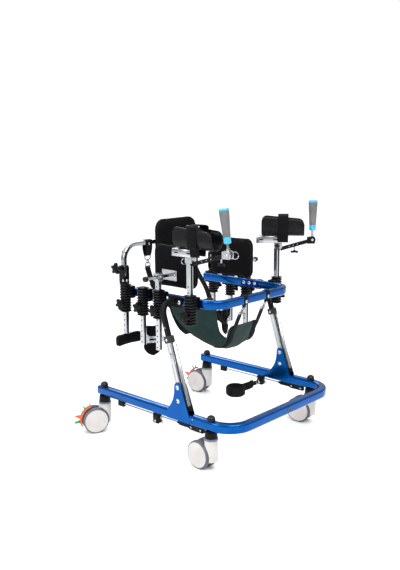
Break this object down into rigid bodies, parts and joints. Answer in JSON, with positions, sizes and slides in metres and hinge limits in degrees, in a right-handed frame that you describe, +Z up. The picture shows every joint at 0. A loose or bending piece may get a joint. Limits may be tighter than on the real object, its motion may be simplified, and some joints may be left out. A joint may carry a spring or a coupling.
{
  "type": "pediatric walker",
  "caption": "Free-standing pediatric gait trainer with a wheeled base, an adjustable upper frame, a sling seat, body pads and forearm supports.",
  "frame": {"origin": "bottom centre of the bounding box, on the floor under the casters", "axes": "+Z up, -Y towards the front, the way that the user walks, +X towards the user's left"},
  "size_m": [0.9484, 0.9752, 1.1117],
  "materials": {
    "blue_anodised": "satin anodised blue",
    "satin_aluminium": "satin anodised",
    "spring_steel": "bright drawn tube",
    "black_plastic": "moulded black",
    "black_coated_tube": "matte black coat",
    "black_upholstery": "black coated fabric over foam",
    "caster_shell": "warm light grey",
    "caster_tyre": "dark slate rubber",
    "pedal_plastic": "red-orange and green lever",
    "grip_rubber": "soft grey grip",
    "sling_fabric": "dark green webbing cloth"
  },
  "bodies": {
    "base": {"base_frame": "blue_anodised", "caster_stem_front_right": "black_plastic", "caster_stem_front_left": "black_plastic", "caster_stem_rear_right": "black_plastic", "caster_stem_rear_left": "black_plastic", "leg_tube_right": "satin_aluminium", "leg_tube_left": "satin_aluminium", "leg_strut_right": "spring_steel", "leg_strut_left": "spring_steel", "ankle_rail_right": "black_plastic", "ankle_rail_left": "black_plastic"},
    "caster_front_right": {"caster_body_front_right": "caster_shell"},
    "wheels_front_right": {"caster_wheels_front_right": "caster_tyre"},
    "caster_front_left": {"caster_body_front_left": "caster_shell"},
    "wheels_front_left": {"caster_wheels_front_left": "caster_tyre"},
    "caster_rear_right": {"caster_body_rear_right": "caster_shell"},
    "wheels_rear_right": {"caster_wheels_rear_right": "caster_tyre"},
    "caster_rear_left": {"caster_body_rear_left": "caster_shell"},
    "wheels_rear_left": {"caster_wheels_rear_left": "caster_tyre"},
    "brake_right": {"brake_pedal_rear_right": "pedal_plastic"},
    "brake_left": {"brake_pedal_rear_left": "pedal_plastic"},
    "upper": {"upper_frame": "blue_anodised", "leg_riser_right": "black_coated_tube", "leg_riser_left": "black_coated_tube", "clamp_back_right": "black_plastic", "clamp_back_left": "black_plastic", "clamp_thigh_right": "black_plastic", "clamp_thigh_left": "black_plastic", "clamp_hip_right": "black_plastic", "clamp_hip_left": "black_plastic", "clamp_arm_right": "black_plastic", "clamp_arm_left": "black_plastic", "sling_seat": "sling_fabric"},
    "ankle_right": {"ankle_slider_right": "black_plastic"},
    "ankle_left": {"ankle_slider_left": "black_plastic", "ankle_cuff_left": "black_upholstery"},
    "back_support": {"back_post_right": "satin_aluminium", "back_post_left": "satin_aluminium", "rear_pad_right": "black_upholstery", "rear_pad_left": "black_upholstery"},
    "back_rest": {"back_arch": "satin_aluminium", "back_pad": "black_upholstery"},
    "hip_support_right": {"hip_post_right": "satin_aluminium"},
    "hip_guide_right": {"hip_bar_right": "satin_aluminium", "hip_pad_right": "black_upholstery"},
    "thigh_support_right": {"thigh_post_right": "satin_aluminium", "thigh_pad_right": "black_upholstery"},
    "arm_column_right": {"arm_post_right": "satin_aluminium"},
    "arm_right": {"arm_bar_right": "black_coated_tube"},
    "forearm_right": {"arm_trough_right": "black_upholstery"},
    "grip_right": {"hand_grip_right": "grip_rubber"},
    "hip_support_left": {"hip_post_left": "satin_aluminium"},
    "hip_guide_left": {"hip_bar_left": "satin_aluminium", "hip_pad_left": "black_upholstery"},
    "thigh_support_left": {"thigh_post_left": "satin_aluminium", "thigh_pad_left": "black_upholstery"},
    "arm_column_left": {"arm_post_left": "satin_aluminium"},
    "arm_left": {"arm_bar_left": "black_coated_tube"},
    "forearm_left": {"arm_trough_left": "black_upholstery"},
    "grip_left": {"hand_grip_left": "grip_rubber"}
  },
  "joints": [
    {"name": "caster_front_right_swivel", "type": "hinge", "parent": "base", "child": "caster_front_right", "pos_m": [-0.33154, -0.35261, 0.1465], "axis": [0, 0, 1], "continuous": true},
    {"name": "wheels_front_right_roll", "type": "hinge", "parent": "caster_front_right", "child": "wheels_front_right", "pos_m": [-0.32791, -0.30073, 0.06196], "axis": [-0.9976, 0.0698, 0], "continuous": true},
    {"name": "caster_front_left_swivel", "type": "hinge", "parent": "base", "child": "caster_front_left", "pos_m": [0.41246, -0.35261, 0.1465], "axis": [0, 0, 1], "continuous": true},
    {"name": "wheels_front_left_roll", "type": "hinge", "parent": "caster_front_left", "child": "wheels_front_left", "pos_m": [0.40522, -0.30111, 0.06196], "axis": [-0.9903, -0.1392, 0], "continuous": true},
    {"name": "caster_rear_right_swivel", "type": "hinge", "parent": "base", "child": "caster_rear_right", "pos_m": [-0.33154, 0.33539, 0.1465], "axis": [0, 0, 1], "continuous": true},
    {"name": "wheels_rear_right_roll", "type": "hinge", "parent": "caster_rear_right", "child": "wheels_rear_right", "pos_m": [-0.37847, 0.35778, 0.06196], "axis": [-0.4305, -0.9026, 0], "continuous": true},
    {"name": "caster_rear_left_swivel", "type": "hinge", "parent": "base", "child": "caster_rear_left", "pos_m": [0.41246, 0.33539, 0.1465], "axis": [0, 0, 1], "continuous": true},
    {"name": "wheels_rear_left_roll", "type": "hinge", "parent": "caster_rear_left", "child": "wheels_rear_left", "pos_m": [0.40703, 0.38711, 0.06196], "axis": [-0.9945, -0.1045, 0], "continuous": true},
    {"name": "brake_right_rock", "type": "hinge", "parent": "caster_rear_right", "child": "brake_right", "pos_m": [-0.43221, 0.38341, 0.09634], "axis": [-0.4305, -0.9026, 0], "range_deg": [-12, 12]},
    {"name": "brake_left_rock", "type": "hinge", "parent": "caster_rear_left", "child": "brake_left", "pos_m": [0.4008, 0.44632, 0.09634], "axis": [-0.9945, -0.1045, 0], "range_deg": [-12, 12]},
    {"name": "height_slide", "type": "slide", "parent": "base", "child": "upper", "axis": [0, 0.3007, 0.9537], "range_m": [-0.06, 0.12]},
    {"name": "ankle_right_slide", "type": "slide", "parent": "base", "child": "ankle_right", "axis": [0, 1, 0], "range_m": [-0.11, 0.19]},
    {"name": "ankle_left_slide", "type": "slide", "parent": "base", "child": "ankle_left", "axis": [0, 1, 0], "range_m": [-0.09, 0.2]},
    {"name": "back_height_slide", "type": "slide", "parent": "upper", "child": "back_support", "axis": [0, 0, 1], "range_m": [0, 0.08]},
    {"name": "back_rest_tilt", "type": "hinge", "parent": "back_support", "child": "back_rest", "pos_m": [0.04046, 0.24039, 0.805], "axis": [1, 0, 0], "range_deg": [-12, 12]},
    {"name": "hip_right_height_slide", "type": "slide", "parent": "upper", "child": "hip_support_right", "axis": [0, 0, 1], "range_m": [-0.03, 0.1]},
    {"name": "hip_right_width_slide", "type": "slide", "parent": "hip_support_right", "child": "hip_guide_right", "axis": [1, 0, 0], "range_m": [-0.01, 0.05]},
    {"name": "thigh_right_height_slide", "type": "slide", "parent": "upper", "child": "thigh_support_right", "axis": [0, 0, 1], "range_m": [-0.08, 0.05]},
    {"name": "arm_right_height_slide", "type": "slide", "parent": "upper", "child": "arm_column_right", "axis": [0, 0, 1], "range_m": [-0.1, 0.06]},
    {"name": "arm_right_yaw", "type": "hinge", "parent": "arm_column_right", "child": "arm_right", "pos_m": [-0.27104, -0.1796, 0.8683], "axis": [0, 0, 1], "range_deg": [-45, 10]},
    {"name": "forearm_right_slide", "type": "slide", "parent": "arm_right", "child": "forearm_right", "axis": [0.0698, -0.9976, 0], "range_m": [-0.02, 0.012]},
    {"name": "grip_right_tilt", "type": "hinge", "parent": "arm_right", "child": "grip_right", "pos_m": [-0.25667, -0.3851, 0.922], "axis": [-0.9976, -0.0698, 0], "range_deg": [-25, 5]},
    {"name": "hip_left_height_slide", "type": "slide", "parent": "upper", "child": "hip_support_left", "axis": [0, 0, 1], "range_m": [-0.03, 0.1]},
    {"name": "hip_left_width_slide", "type": "slide", "parent": "hip_support_left", "child": "hip_guide_left", "axis": [1, 0, 0], "range_m": [-0.05, 0.01]},
    {"name": "thigh_left_height_slide", "type": "slide", "parent": "upper", "child": "thigh_support_left", "axis": [0, 0, 1], "range_m": [-0.08, 0.05]},
    {"name": "arm_left_height_slide", "type": "slide", "parent": "upper", "child": "arm_column_left", "axis": [0, 0, 1], "range_m": [-0.1, 0.06]},
    {"name": "arm_left_yaw", "type": "hinge", "parent": "arm_column_left", "child": "arm_left", "pos_m": [0.35196, -0.1796, 0.8683], "axis": [0, 0, 1], "range_deg": [-36, 9]},
    {"name": "forearm_left_slide", "type": "slide", "parent": "arm_left", "child": "forearm_left", "axis": [0.5878, -0.809, 0], "range_m": [-0.01, 0.01]},
    {"name": "grip_left_tilt", "type": "hinge", "parent": "arm_left", "child": "grip_left", "pos_m": [0.45188, -0.31714, 0.912], "axis": [-0.809, -0.5878, 0], "range_deg": [-25, 5]}
  ]
}
